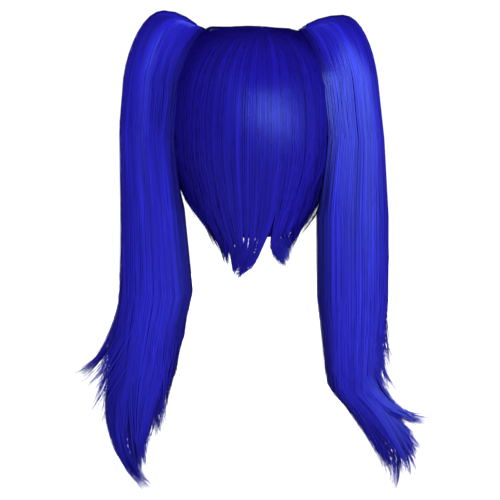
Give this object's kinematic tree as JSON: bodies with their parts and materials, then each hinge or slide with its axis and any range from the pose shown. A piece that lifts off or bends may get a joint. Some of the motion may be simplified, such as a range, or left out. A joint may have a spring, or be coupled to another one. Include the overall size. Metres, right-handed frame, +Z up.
{
  "type": "pigtail wig",
  "caption": "Full wig of straight fibre on a hollow cap, with a short ragged back, a fringe and two long pigtails set high on the sides, kept in its worn form.",
  "frame": {"origin": "the highest point inside the cap, where the wearer's head touches it", "axes": "+Z up along the upright head, -Y the way the face looks, +X the wearer's left"},
  "size_m": [0.3981, 0.209, 0.5211],
  "materials": {
    "fibre": "straight royal blue synthetic fibre, silky",
    "under_fibre": "the same fibre in its shaded under layer",
    "pigtail_fibre": "long straight royal blue synthetic fibre, silky",
    "cap_net": "dark blue stretch net with sewn wefts",
    "false_skin": "matt skin-coloured patch",
    "tie_band": "dark blue covered elastic"
  },
  "bodies": {
    "root": {"cap": "cap_net", "crown_patch": "false_skin", "back_hair": "fibre", "side_hair_left": "under_fibre", "side_hair_right": "under_fibre", "fringe": "fibre", "pigtail_left": "pigtail_fibre", "pigtail_right": "pigtail_fibre", "tie_left": "tie_band", "tie_right": "tie_band"}
  },
  "joints": []
}
